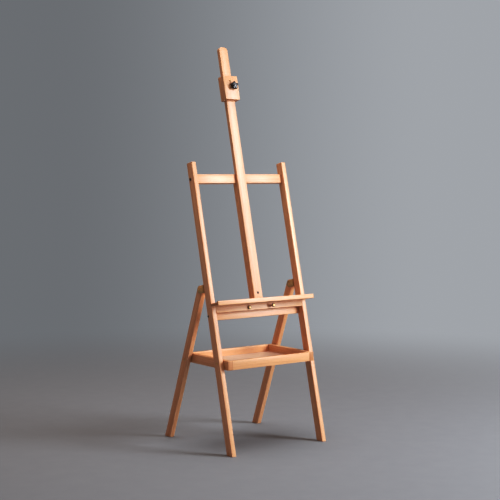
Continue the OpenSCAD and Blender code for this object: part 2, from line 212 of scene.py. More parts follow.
def beech(name, axis, seed, centre, half, matrix, tone=1.0, warm=0.0, rings=(0.055, -0.04), figure=1.0, pale=0.0):
    """Oiled beech as a solid texture: growth rings round a pith beside the board, long streaks, short ray flecks, fine
    pores, darker end grain, and paler edges that are partly rubbed wear and partly a painted highlight.
    axis is the grain direction in the piece's own frame; centre and half are the board's box there, in metres."""
    k = Tree(name)
    tilt = matrix.to_euler("XYZ").x
    own = k.mapping(k.vmath("SUBTRACT", k.object_co(), tuple(matrix.translation)), rot=(-tilt, 0, 0))
    moved = k.vmath("SUBTRACT", own, tuple(centre))
    turned = k.mapping(moved, rot=AXIS_ROT[axis])
    r = ((seed * 37) % 17) / 17.0
    q = ((seed * 53) % 23) / 23.0
    p = k.vmath("ADD", turned, (r * 3.1, q * 2.7, seed * 1.37))
    # slow wander of the grain along the board
    slow = k.noise(k.mapping(p, scale=(5, 5, 1.5)), 1.0, 2.0, 0.5)
    wand = k.math("MULTIPLY", k.math("SUBTRACT", slow, 0.5), 0.055 * figure)
    x, y, z = k.sep(turned)
    px, py = rings[0] * (1 + 0.8 * q), rings[1] * (1 + 0.7 * r)
    if seed % 2:
        px = -px
    rx = k.math("ADD", k.math("SUBTRACT", x, px), wand)
    ry = k.math("ADD", k.math("SUBTRACT", y, py), k.math("MULTIPLY", wand, 0.6))
    rad = k.math("SQRT", k.math("ADD", k.math("MULTIPLY", rx, rx), k.math("MULTIPLY", ry, ry)))
    fine_wave = k.noise(k.mapping(p, scale=(60, 60, 5)), 1.0, 2.0, 0.55)
    phase = k.math("ADD", k.math("MULTIPLY", rad, 2 * math.pi / 0.0042), k.math("MULTIPLY", fine_wave, 3.4))
    ring = k.math("ADD", k.math("MULTIPLY", k.math("SINE", phase), 0.5), 0.5)
    ring = k.math("POWER", ring, 2.2)
    ring_amount = k.smooth(k.noise(k.mapping(p, scale=(18, 18, 2)), 1.0, 1.0), 0.3, 0.7, 0.35, 1.0)
    ring = k.math("MULTIPLY", ring, ring_amount)
    # streaks of deeper and paler wood
    broad = k.noise(k.mapping(p, scale=(46, 46, 1.6)), 1.0, 3.0, 0.55)
    streak = k.noise(k.mapping(p, scale=(230, 230, 5.5)), 1.0, 3.0, 0.6)
    hair = k.noise(k.mapping(p, scale=(1300, 1300, 22)), 1.0, 2.0, 0.6)
    # short dark ray flecks, about 1 mm by 6 mm
    cells = k.voronoi(k.mapping(p, scale=(620, 620, 95)), 1.0)
    fleck = k.smooth(cells.outputs["Distance"], 0.10, 0.26, 1.0, 0.0)
    keep = k.smooth(k.sep(cells.outputs["Color"])[0], 0.42, 0.55)
    fleck = k.math("MULTIPLY", fleck, keep)
    pore = k.smooth(k.noise(k.mapping(p, scale=(3600, 3600, 240)), 1.0, 1.0), 0.60, 0.74)
    # end grain
    nrm = k.mapping(k.mapping(k.normal_co(), rot=(-tilt, 0, 0)), rot=AXIS_ROT[axis])
    endy = k.smooth(k.math("ABSOLUTE", k.sep(nrm)[2]), 0.55, 0.9)
    # how near the closest long edge
    hx, hy = [h for i, h in enumerate(half) if "XYZ"[i] != axis]
    c3 = k.sep(moved)
    cx, cy = [c3[i] for i in range(3) if "XYZ"[i] != axis]
    dx = k.math("SUBTRACT", hx, k.math("ABSOLUTE", cx))
    dy = k.math("SUBTRACT", hy, k.math("ABSOLUTE", cy))
    edge = k.math("MAXIMUM", dx, dy)
    # paler band along the long edges: partly rubbed wear, partly a painted highlight on the arrises
    wear_highlight_noise = k.noise(k.mapping(p, scale=(90, 90, 16)), 1.0, 4.0, 0.65)
    edge = k.math("ADD", edge, k.math("MULTIPLY", k.math("SUBTRACT", wear_highlight_noise, 0.5), -0.0032))
    wear_and_highlight = k.smooth(edge, 0.0002, 0.0019, 1.0, 0.0)

    def c(rgb):
        grey = sum(lin(*rgb)) / 3
        return tuple(min(1.0, (v * (1 - pale) + grey * 1.12 * pale) * tone) for v in lin(*rgb))

    light = c((237, 189 + int(warm * -8), 148 + int(warm * -16)))
    mid = c((226, 170 + int(warm * -8), 124 + int(warm * -14)))
    deep = c((200, 136 + int(warm * -6), 90 + int(warm * -10)))
    dark = c((140, 80, 46))
    base = k.mix(k.smooth(broad, 0.30, 0.70), light, mid)
    base = k.mix(k.math("MULTIPLY", k.smooth(streak, 0.42, 0.76), 0.55 * figure), base, deep)
    base = k.mix(k.math("MULTIPLY", ring, 0.42 * figure), base, deep)
    base = k.mix(k.math("MULTIPLY", k.smooth(hair, 0.5, 0.8), 0.22), base, dark)
    base = k.mix(k.math("MULTIPLY", fleck, 0.50), base, dark)
    base = k.mix(k.math("MULTIPLY", pore, 0.30), base, dark)
    # edges mixed towards a paler tone: painted highlight as well as wear
    base = k.mix(k.math("MULTIPLY", wear_and_highlight, 0.42), base, c((246, 207, 163)))
    endcol = k.mix(k.math("MULTIPLY", ring, 0.6), c((196, 134, 84)), c((140, 84, 48)))
    endcol = k.mix(k.math("MULTIPLY", pore, 0.45), endcol, c((100, 56, 30)))
    base = k.mix(k.math("MULTIPLY", endy, 0.85), base, endcol)
    k.put(k.bsdf.inputs["Base Color"], base)
    rough = k.math("ADD", 0.40, k.math("MULTIPLY", broad, 0.12))
    rough = k.math("ADD", rough, k.math("MULTIPLY", pore, 0.20))
    rough = k.math("ADD", rough, k.math("MULTIPLY", endy, 0.16))
    rough = k.math("SUBTRACT", rough, k.math("MULTIPLY", wear_and_highlight, 0.07))
    k.put(k.bsdf.inputs["Roughness"], rough)
    k.bsdf.inputs["Specular IOR Level"].default_value = 0.5
    k.bsdf.inputs["Coat Weight"].default_value = 0.30
    k.bsdf.inputs["Coat Roughness"].default_value = 0.28
    h = k.math("MULTIPLY", ring, 0.35)
    h = k.math("ADD", h, k.math("MULTIPLY", hair, 0.35))
    h = k.math("SUBTRACT", h, k.math("MULTIPLY", pore, 0.55))
    h = k.math("SUBTRACT", h, k.math("MULTIPLY", fleck, 0.25))
    h = k.math("ADD", h, k.math("MULTIPLY", streak, 0.4))
    k.put(k.bsdf.inputs["Normal"], k.bump(h, 0.30, 0.00016))
    return k.mat


def metal(name, colour, deep, rough, tarnish=0.35, brushed=(900, 900, 900), spot=70.0):
    """Plated or turned metal: fine tool marks and soft tarnish in patches."""
    k = Tree(name)
    co = k.object_co()
    patch = k.noise(co, spot, 4.0, 0.6)
    fine = k.noise(k.mapping(co, scale=brushed), 1.0, 3.0, 0.6)
    specks = k.smooth(k.noise(co, 1500.0, 2.0, 0.5), 0.62, 0.78)
    base = k.mix(k.math("MULTIPLY", k.smooth(patch, 0.38, 0.72), tarnish), colour, deep)
    base = k.mix(k.math("MULTIPLY", fine, 0.16), base, deep)
    base = k.mix(k.math("MULTIPLY", specks, 0.35), base, tuple(v * 0.35 for v in deep))
    k.put(k.bsdf.inputs["Base Color"], base)
    k.bsdf.inputs["Metallic"].default_value = 1.0
    r = k.math("ADD", rough, k.math("MULTIPLY", patch, 0.16))
    r = k.math("ADD", r, k.math("MULTIPLY", specks, 0.25))
    k.put(k.bsdf.inputs["Roughness"], r)
    k.put(k.bsdf.inputs["Normal"], k.bump(k.math("ADD", fine, k.math("MULTIPLY", specks, -0.6)), 0.22, 0.00006))
    return k.mat


def plastic(name, colour, scuff):
    """Black moulded plastic: faint orange peel, fine dust and handling marks."""
    k = Tree(name)
    co = k.object_co()
    peel = k.noise(co, 900.0, 2.0, 0.5)
    cloud = k.noise(co, 120.0, 4.0, 0.6)
    dust = k.smooth(k.noise(co, 2600.0, 2.0, 0.6), 0.64, 0.8)
    marks = k.smooth(k.noise(k.mapping(co, scale=(260, 1900, 700)), 1.0, 3.0, 0.7), 0.60, 0.78)
    base = k.mix(k.math("MULTIPLY", cloud, 0.5), colour, tuple(v * 1.7 for v in colour))
    base = k.mix(k.math("MULTIPLY", dust, 0.25), base, scuff)
    base = k.mix(k.math("MULTIPLY", marks, 0.20), base, scuff)
    k.put(k.bsdf.inputs["Base Color"], base)
    r = k.math("ADD", 0.17, k.math("MULTIPLY", cloud, 0.14))
    r = k.math("ADD", r, k.math("MULTIPLY", marks, 0.22))
    k.put(k.bsdf.inputs["Roughness"], r)
    k.bsdf.inputs["Specular IOR Level"].default_value = 0.6
    k.put(k.bsdf.inputs["Normal"], k.bump(k.math("ADD", peel, k.math("MULTIPLY", marks, -0.3)), 0.12, 0.00008))
    return k.mat


BRASS = metal("brass_plated", lin(236, 204, 150), lin(162, 122, 76), 0.24, 0.45)
BRACKET = metal("brass_bracket", lin(214, 182, 134), lin(150, 116, 78), 0.36, 0.5, (300, 2400, 2400))
# dark brass for the thumb screws' knurled rim: painted shade round the head
KNURL_PAINTED_SHADE = metal("brass_rim_painted_shade", lin(120, 90, 54), lin(52, 36, 22), 0.42, 0.6)
STEEL = metal("steel_blackened", lin(96, 88, 84), lin(46, 40, 38), 0.30, 0.5)
ZINC = metal("steel_plated", lin(176, 172, 164), lin(110, 104, 96), 0.26, 0.4)
PLASTIC = plastic("plastic_black", lin(22, 20, 25), lin(92, 88, 96))


# ------------------------------------------------------------------ mesh helpers (local millimetres in, metres out)
def finish_piece(name, bm, matrix, body, mats, nodes=(), smooth=35.0, parent_scale=True):
    bmesh.ops.recalc_face_normals(bm, faces=bm.faces[:])
    me = bpy.data.meshes.new(name)
    for v in bm.verts:
        v.co *= MM
    bmesh.ops.transform(bm, matrix=matrix, verts=bm.verts[:])
    lim = math.radians(smooth)
    for f in bm.faces:
        f.smooth = True
    for e in bm.edges:
        if len(e.link_faces) == 2 and e.calc_face_angle(0) > lim:
            e.smooth = False
    bm.to_mesh(me)
    bm.free()
    for m in mats if isinstance(mats, (list, tuple)) else [mats]:
        me.materials.append(m)
    o = bpy.data.objects.new(name, me)
    scene.collection.objects.link(o)
    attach(o, body)
    if nodes:
        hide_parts(*nodes)
    return o


def prism(outline, lo, hi, plane):
    """A closed solid: outline points in the plane ('yz' runs along x, 'xy' along z, 'xz' along y) from lo to hi."""
    bm = bmesh.new()

    def at(u, v, w):
        return {"yz": (w, u, v), "xy": (u, v, w), "xz": (u, w, v)}[plane]

    a = [bm.verts.new(at(u, v, lo)) for u, v in outline]
    b = [bm.verts.new(at(u, v, hi)) for u, v in outline]
    n = len(outline)
    bm.faces.new(a[::-1])
    bm.faces.new(b)
    for i in range(n):
        j = (i + 1) % n
        bm.faces.new((a[i], a[j], b[j], b[i]))
    bmesh.ops.recalc_face_normals(bm, faces=bm.faces[:])
    return bm


def round_edges(bm, r, seg=3, angle=28.0, skip=None):
    lim = math.radians(angle)
    edges = [e for e in bm.edges if len(e.link_faces) == 2 and e.calc_face_angle(0) > lim and not (skip and skip(e))]
    bmesh.ops.bevel(bm, geom=edges, offset=r, offset_type="OFFSET", segments=seg, profile=0.5, affect="EDGES",
                    clamp_overlap=False, material=-1)
    return bm


def box_bm(x0, x1, y0, y1, z0, z1):
    return prism([(x0, y0), (x1, y0), (x1, y1), (x0, y1)], z0, z1, "xy")


def lathe(profile, n=40, lobes=None):
    """Surface of revolution about +Z through (radius, z) points; a radius of 0 closes the end."""
    bm = bmesh.new()
    rings = []
    for r, z in profile:
        if r <= 1e-6:
            rings.append([bm.verts.new((0, 0, z))])
        else:
            ring = []
            for i in range(n):
                a = 2 * math.pi * i / n
                k = lobes(a, r) if lobes else 1.0
                ring.append(bm.verts.new((r * k * math.cos(a), r * k * math.sin(a), z)))
            rings.append(ring)
    for a, b in zip(rings, rings[1:]):
        if len(a) == 1 and len(b) == 1:
            continue
        for i in range(n):
            j = (i + 1) % n
            if len(a) == 1:
                bm.faces.new((a[0], b[j], b[i]))
            elif len(b) == 1:
                bm.faces.new((a[i], a[j], b[0]))
            else:
                bm.faces.new((a[i], a[j], b[j], b[i]))
    return bm


def add(bm, other, matrix=None):
    """Moves other's faces into bm."""
    if matrix is not None:
        bmesh.ops.transform(other, matrix=matrix, verts=other.verts[:])
    me = bpy.data.meshes.new("tmp")
    other.to_mesh(me)
    other.free()
    bm.from_mesh(me)
    bpy.data.meshes.remove(me)
    return bm


def head(r, h, depth, shape, n=48, rings=20, rim=0.5):
    """A domed screw head standing on z = 0 with a recess cut in its top. shape is cross, slot, hex or none."""
    sr = (r * r + h * h) / (2 * h)

    def inside(x, y):
        if shape == "cross":
            w, l = r * 0.115, r * 0.62
            a = min(l - abs(x), w - abs(y))
            b = min(l - abs(y), w - abs(x))
            return max(a, b)
        if shape == "slot":
            return min(r * 0.93 - abs(x), r * 0.12 - abs(y))
        if shape == "hex":
            q = r * 0.40
            return min(q - abs(x * math.cos(t) + y * math.sin(t)) for t in (0, math.pi / 3, 2 * math.pi / 3))
        return -1

    bm = bmesh.new()
    grid = []
    top = bm.verts.new((0, 0, h - depth if shape != "none" else h))
    for i in range(1, rings + 1):
        rr = (r - rim * 0.5) * (i / rings)
        ring = []
        for k in range(n):
            a = 2 * math.pi * k / n
            x, y = rr * math.cos(a), rr * math.sin(a)
            z = math.sqrt(max(0.0, sr * sr - rr * rr)) - (sr - h)
            d = inside(x, y)
            t = min(1.0, max(0.0, d / (r * 0.07) + 0.5))
            z = z - depth * t * t * (3 - 2 * t)
            ring.append(bm.verts.new((x, y, max(z, 0.15))))
        grid.append(ring)
    edge = [bm.verts.new((r * math.cos(2 * math.pi * k / n), r * math.sin(2 * math.pi * k / n), 0.10)) for k in range(n)]
    foot = [bm.verts.new((r * math.cos(2 * math.pi * k / n), r * math.sin(2 * math.pi * k / n), 0.0)) for k in range(n)]
    grid += [edge, foot]
    for k in range(n):
        bm.faces.new((top, grid[0][k], grid[0][(k + 1) % n]))
    for a, b in zip(grid, grid[1:]):
        for k in range(n):
            j = (k + 1) % n
            bm.faces.new((a[k], b[k], b[j], a[j]))
    bm.faces.new(foot[::-1])
    return bm


def rod(r, z0, z1, n=28, ch=0.35):
    return lathe([(0, z0), (r - ch, z0), (r, z0 + ch), (r, z1 - ch), (r - ch, z1), (0, z1)], n)


def thread(r, z0, z1, pitch=1.0, depth=0.45, n=24):
    """A threaded rod: a helical groove wound on a rod."""
    bm = bmesh.new()
    per = 4
    count = max(2, int((z1 - z0) / pitch * per))
    rings = []
    for i in range(count + 1):
        z = z0 + (z1 - z0) * i / count
        fade = min(1.0, min(i, count - i) / per)
        ring = []
        for k in range(n):
            a = 2 * math.pi * k / n
            ph = ((z - z0) / pitch + k / n) % 1.0
            d = depth * fade * (0.5 + 0.5 * math.cos(2 * math.pi * ph))
            ring.append(bm.verts.new(((r - d) * math.cos(a), (r - d) * math.sin(a), z)))
        rings.append(ring)
    for a, b in zip(rings, rings[1:]):
        for k in range(n):
            j = (k + 1) % n
            bm.faces.new((a[k], a[j], b[j], b[k]))
    bm.faces.new(rings[0][::-1])
    bm.faces.new(rings[-1])
    return bm


def along_x(s):
    """Turns +Z to point along +X (s = 1) or -X (s = -1)."""
    return Matrix.Rotation(math.radians(90 * s), 4, "Y")


def at(x, y, z):
    return Matrix.Translation((x, y, z))


BACKWARD = Matrix.Rotation(math.radians(-90), 4, "X")  # +Z to +Y
FORWARD = Matrix.Rotation(math.radians(90), 4, "X")  # +Z to -Y

SEED = [3]


def board(name, node, bm, matrix, body, axis, r=1.5, tone=1.0, warm=0.0, figure=1.0, seg=3, skip=None,
          rings=(0.055, -0.04), angle=28.0, extra=(), pale=0.0):
    """Rounds a board's edges, gives it its own cut of beech and stands it in for its CAD node."""
    lo = [min(v.co[i] for v in bm.verts) for i in range(3)]
    hi = [max(v.co[i] for v in bm.verts) for i in range(3)]
    round_edges(bm, r, seg, angle, skip)
    SEED[0] += 1
    centre = [(a + b) / 2 * MM for a, b in zip(lo, hi)]
    half = [(b - a) / 2 * MM for a, b in zip(lo, hi)]
    m = beech("beech_" + node, axis, SEED[0], centre, half, matrix, tone, warm, rings, figure, pale)
    return finish_piece(name, bm, matrix, body, m, (node, *extra), smooth=40)


# ------------------------------------------------------------------ wood
def floor_z(y):
    """Local height in the leaning frame where a point y behind the front faces meets the floor."""
    return y * SA / CA  # world z = -(-y) ... = z * cos + n * sin, n = -y


for s, side in ((-1, "left"), (1, "right")):
    x0, x1 = s * LEG_X - LEG_W / 2, s * LEG_X + LEG_W / 2
    out = [(0, floor_z(0)), (LEG_D, floor_z(LEG_D)), (LEG_D, FRONT_LEN), (0, FRONT_LEN)]
    board("front_leg_%s_wood" % side, "front_leg_" + side, prism(out, x0, x1, "yz"), LEANED, "frame", "Z",
          1.9, 1.04)

nw = (MAST_W + 0.6) / 2
yb = -BATTEN_N
plan = [(-INNER, BAR_N), (-nw, BAR_N), (-nw, yb), (nw, yb), (nw, BAR_N), (INNER, BAR_N), (INNER, LEG_D), (-INNER, LEG_D)]
board("upper_crossbar_wood", "upper_crossbar", prism(plan, BAR_S0, BAR_S0 + BAR_H, "xy"), LEANED, "frame", "X",
      1.4, 1.0, 0.4)

# the slotted batten, as two halves that meet on its centre line
bm = bmesh.new()
z0, z1 = RAIL_S0 + RAIL_H, BAR_S0
arc = 12
for s in (-1, 1):
    pts = [(0, z0), (s * MAST_W / 2, z0), (s * MAST_W / 2, z1), (0, z1)]
    for i in range(arc + 1):
        a = math.pi / 2 * (1 - i / arc)
        pts.append((s * SLOT_W / 2 * math.cos(a), BOLT_S + TRAVEL + SLOT_W / 2 * math.sin(a)))
    for i in range(arc + 1):
        a = -math.pi / 2 * i / arc
        pts.append((s * SLOT_W / 2 * math.cos(a), BOLT_S + SLOT_W / 2 * math.sin(a)))
    half_bm = prism(pts, -BATTEN_N, LEG_D, "xz")
    inner_faces = [f for f in half_bm.faces if all(abs(v.co.x) < 1e-6 for v in f.verts)]
    bmesh.ops.delete(half_bm, geom=inner_faces, context="FACES_ONLY")
    add(bm, half_bm)
bmesh.ops.remove_doubles(bm, verts=bm.verts[:], dist=1e-4)
bmesh.ops.recalc_face_normals(bm, faces=bm.faces[:])
board("centre_batten_wood", "centre_batten", bm, LEANED, "frame", "Z", 0.7, 0.98, 0.3, seg=2)

board("lower_rail_wood", "lower_rail", box_bm(-INNER, INNER, LEG_D - RAIL_T, LEG_D, RAIL_S0, RAIL_S0 + RAIL_H), LEANED,
      "frame", "X", 1.2, 0.98, 0.3)
board("ledge_apron_wood", "ledge_apron",
      box_bm(-INNER + 0.3, INNER - 0.3, 0, LEG_D - RAIL_T - 0.1, APRON_S0, PLATE_S0 + PLATE_T), LEANED, "frame", "X",
      1.3, 0.99, 0.3)
board("ledge_plate_wood", "ledge_plate",
      box_bm(-LEDGE_W / 2, LEDGE_W / 2, -PLATE_D, 0, PLATE_S0, PLATE_S0 + PLATE_T), LEANED, "frame", "X",
      1.2, 1.0, 0.2)
board("ledge_lip_wood", "ledge_lip",
      box_bm(-LEDGE_W / 2, LEDGE_W / 2, -PLATE_D - LIP_T, -PLATE_D, PLATE_S0 - 2, PLATE_S0 - 2 + LIP_H), LEANED,
      "frame", "X", 1.9, 1.0, 0.35)

# the mast, with rounded top corners
w, rc = MAST_W / 2, 14.0
pts = [(-w, MAST_S0), (w, MAST_S0)]
for i in range(13):
    a = math.pi / 2 * i / 12
    pts.append((w - rc + rc * math.cos(a), MAST_S1 - rc + rc * math.sin(a)))
for i in range(13):
    a = math.pi / 2 + math.pi / 2 * i / 12
    pts.append((-w + rc + rc * math.cos(a), MAST_S1 - rc + rc * math.sin(a)))
board("mast_wood", "mast", prism(pts, -MAST_N, -MAST_BACK, "xz"), LEANED, "mast_slider", "Z", 1.7, 1.0)

board("clamp_front_wood", "clamp_front", box_bm(-CL_W / 2, CL_W / 2, -CL_FN, -CL_FN + CL_T, CL_S0, CL_S0 + CL_H),
      LEANED, "clamp", "Z", 1.8, 0.9, 0.3)
for s, side in ((-1, "left"), (1, "right")):
    xc = s * (CL_W / 2 - CHEEK_W / 2)
    board("clamp_cheek_%s_wood" % side, "clamp_cheek_" + side,
          box_bm(xc - CHEEK_W / 2, xc + CHEEK_W / 2, -MAST_N - 0.3, -CHEEK_N, CL_S0, CL_S0 + CL_H), LEANED, "clamp",
          "Z", 0.5, 0.95, 0.4, seg=2)
board("clamp_back_wood", "clamp_back", box_bm(-CL_BACK_W / 2, CL_BACK_W / 2, -CHEEK_N, -CHEEK_N + 6, CL_S0, CL_S0 + CL_H),
      LEANED, "clamp", "Z", 1.2, 0.96, 0.4)

for s, side in ((-1, "left"), (1, "right")):
    r = LEG_D / 2
    # the floor in the rear-leg frame: world z = HINGE_Z + y * sin + z * cos = 0
    def cut(y):
        return (-HINGE_Z - y * SB) / CB
    pts = [(-r, cut(-r)), (r, cut(r))] + [(r * math.cos(math.pi * i / 24), r * math.sin(math.pi * i / 24)) for i in range(25)]
    board("rear_leg_%s_wood" % side, "rear_leg_" + side, prism(pts, -LEG_W / 2, LEG_W / 2, "yz"),
          rear_frame(s * LEG_X), "rear_" + side, "Z", 1.8, 0.98, 0.5)
    xc = s * (TRAY_W / 2 - SIDE_T / 2)
    z1 = TZ0 + TH
    pts = [(TY0, TZ0), (TY1 - 5, TZ0), (TY1, TZ0 + 5), (TY1, z1 - 5), (TY1 - 5, z1), (TY0, z1)]
    board("tray_side_%s_wood" % side, "tray_side_" + side, prism(pts, xc - SIDE_T / 2, xc + SIDE_T / 2, "yz"), FLAT,
          "tray", "Y", 1.1, 1.0, 0.3)
for y, side in ((TY0, "front"), (TY1 - END_T, "back")):
    hw = TRAY_W / 2 - SIDE_T
    board("tray_%s_wood" % side, "tray_" + side, box_bm(-hw, hw, y, y + END_T, TZ0, TZ0 + TH), FLAT, "tray", "X",
          1.2, 1.07, 0.1)
hw = TRAY_W / 2 - SIDE_T
board("tray_floor_wood", "tray_floor", box_bm(-hw, hw, TY0 + END_T, TY1 - END_T, TZ0 + 3, TZ0 + 7), FLAT, "tray", "X",
      0.3, 1.0, 0.0, seg=1, rings=(0.03, -0.012), figure=0.7, pale=0.42)


# ------------------------------------------------------------------ fittings
def thumb_screw(x, gap):
    """Knurled brass head with a domed face, a shoulder and a threaded shank."""
    bm = bmesh.new()
    n = 96
    prof = [(0, gap), (4.6, gap), (6.4, gap), (6.9, gap + 0.15), (7.5, gap + 0.8), (7.5, gap + 4.2), (7.0, gap + 4.85),
            (6.3, gap + 5.0), (6.05, gap + 4.55), (5.75, gap + 4.55), (5.5, gap + 5.05), (5.2, gap + 5.75),
            (4.4, gap + 6.35), (3.2, gap + 6.75), (1.7, gap + 6.95), (0, gap + 7.0)]

    def knurl(a, r):
        return 1.0 - 0.055 * (0.5 + 0.5 * math.cos(24 * a)) if r >= 7.45 else 1.0

    add(bm, lathe(prof, n, knurl))
    # faces out at the rim take the dark brass: painted shade on the knurl
    for f in bm.faces:
        c = f.calc_center_median()
        if math.hypot(c.x, c.y) > 5.6:
            f.material_index = 1
    add(bm, thread(3.0, gap - 8, gap + 0.2, 1.0, 0.4))
    add(bm, rod(2.95, -LEG_D + 0.5, gap - 8))
    return bm


for x, gap, side in ((-52.0, 0.4, "left"), (52.0, 11.5, "right")):
    finish_piece("thumb_screw_%s_brass" % side, thumb_screw(x, gap), LEANED @ Matrix.Translation((x * MM, 0, 532 * MM)) @
                 FORWARD, "thumb_" + side, [BRASS, KNURL_PAINTED_SHADE], ("thumb_screw_" + side,), smooth=30)


def star_profile(n=140):
    """Evenly spaced angles round a circle."""
    out = []
    for i in range(n):
        a = 2 * math.pi * i / n
        out.append(a)
    return out


def star_knob(big=15.8, cen=17.6, sc=6.4, k=1.0, kz=1.0):
    """Five-lobed knob on a hub, edges rolled over, a raised centre cap with a shallow ring."""

    def outline(a):
        # distance to the scalloped edge, with the points between scallops rounded off
        best = big
        for i in range(5):
            t = math.radians(54 + 72 * i)
            d = math.atan2(math.sin(a - t), math.cos(a - t))
            if abs(d) < math.asin(sc / cen):
                hit = cen * math.cos(d) - math.sqrt(max(0, sc * sc - (cen * math.sin(d)) ** 2))
                best = min(best, hit)
        return best

    n = 200
    raw = [outline(2 * math.pi * i / n) for i in range(n)]
    for _ in range(14):
        raw = [(raw[i - 1] + 2 * raw[i] + raw[(i + 1) % n]) / 4 for i in range(n)]

    rings = [  # inset from the outline, height
        (None, 8.0, 0.0), (None, 8.0, 4.0), (4.2, None, 4.0), (1.4, None, 4.25), (0.45, None, 5.0), (0.0, None, 6.6),
        (0.0, None, 12.6), (0.35, None, 14.2), (1.3, None, 15.3), (2.7, None, 15.9), (None, 9.3, 16.0),
        (None, 9.0, 16.3), (None, 8.7, 17.0), (None, 8.1, 17.35), (None, 6.2, 17.4), (None, 5.8, 17.15),
        (None, 5.2, 17.15), (None, 4.8, 17.35), (None, 2.4, 17.4), (None, 0.0, 17.4)]
    rings = [(None if i is None else i * k, None if r is None else r * k, z * kz) for i, r, z in rings]
    bm = bmesh.new()
    made = []
    for inset, radius, z in rings:
        if radius == 0.0:
            made.append([bm.verts.new((0, 0, z))])
            continue
        ring = []
        for i in range(n):
            a = 2 * math.pi * i / n
            rr = radius if radius is not None else raw[i] - inset
            ring.append(bm.verts.new((rr * math.cos(a), rr * math.sin(a), z)))
        made.append(ring)
    bm.faces.new(made[0][::-1])
    for a, b in zip(made, made[1:]):
        for k in range(n):
            j = (k + 1) % n
            if len(b) == 1:
                bm.faces.new((a[k], a[j], b[0]))
            else:
                bm.faces.new((a[k], a[j], b[j], b[k]))
    return bm


finish_piece("star_knob_plastic", star_knob(), LEANED @
             Matrix.Translation((KNOB_X * MM, -(CL_FN + 0.3) * MM, KNOB_S * MM)) @ FORWARD, "clamp_knob", PLASTIC,
             ("star_knob",), smooth=38)
finish_piece("lock_knob_plastic", star_knob(10.5, 11.9, 4.2, 0.664, 12.0 / 17.4), LEANED @
             Matrix.Translation((0, (LEG_D + 2) * MM, BOLT_S * MM)) @ BACKWARD, "lock_knob", PLASTIC,
             ("mast_lock_knob",), smooth=38)
bm = thread(3.0, 0.0, CL_FN + 0.3 - MAST_N - 0.3 + 11.5, 1.25, 0.42)
finish_piece("star_stud_steel", bm, LEANED @ Matrix.Translation((KNOB_X * MM, (-MAST_N - 0.3) * MM, KNOB_S * MM)) @
             FORWARD, "clamp_knob", ZINC, ("star_stud",))

# carriage bolt: domed head, square neck, threaded end
bm = head(4.8, 2.0, 1.0, "slot", 48, 16)
add(bm, round_edges(box_bm(-2.9, 2.9, -2.9, 2.9, -3.4, 0.1), 0.3, 1))
add(bm, rod(2.9, -MAST_T - 17, -3.2))
add(bm, thread(3.0, -MAST_T - 29.5, -MAST_T - 16, 1.0, 0.4))
finish_piece("mast_bolt_steel", bm, LEANED @ Matrix.Translation((0, -MAST_N * MM, BOLT_S * MM)) @ FORWARD,
             "mast_slider", STEEL, ("mast_bolt",))
bm = lathe([(3.05, 0.2), (8.2, 0.2), (8.5, 0.5), (8.5, 1.4), (8.2, 1.7), (3.25, 1.7), (3.05, 1.5), (3.05, 0.2)], 48)
bmesh.ops.remove_doubles(bm, verts=bm.verts[:], dist=1e-4)
finish_piece("mast_washer_steel", bm, LEANED @ Matrix.Translation((0, LEG_D * MM, BOLT_S * MM)) @ BACKWARD,
             "mast_slider", ZINC, ("mast_washer",))


def both_sides(name, node, r, h, depth, shape, shank, length, y, z, body, mat, matrix=LEANED, out=HALF, sides=(-1, 1)):
    bm = bmesh.new()
    for s in sides:
        turn = at(s * out, y, z) @ along_x(s)
        add(bm, head(r, h, depth, shape), turn)
        add(bm, rod(shank, -length, 0.05), turn)
    return finish_piece(name, bm, matrix, body, mat, (node,))


both_sides("crossbar_bolts_steel", "crossbar_bolts", 6.0, 3.0, 1.4, "hex", 3.0, LEG_W + 31, (BAR_N + LEG_D) / 2,
           BAR_S0 + BAR_H / 2, "frame", STEEL)
both_sides("rail_screws_steel", "rail_screws", 4.2, 2.2, 1.1, "cross", 2.1, LEG_W + 29, LEG_D - RAIL_T / 2,
           RAIL_S0 + 17, "frame", STEEL)
both_sides("tray_front_screws_steel", "tray_front_screws", 5.2, 2.4, 1.2, "cross", 2.6, LEG_W + 1.6, LEG_D / 2, 338.4,
           "frame", BRASS)
for s, side in ((-1, "left"), (1, "right")):
    both_sides("tray_pivot_%s_steel" % side, "tray_pivot_" + side, 5.4, 2.6, 1.3, "cross", 3.0, 38.0, TRAY_PY, TRAY_PZ,
               "tray", BRASS, FLAT, HALF + 0.3, (s,))

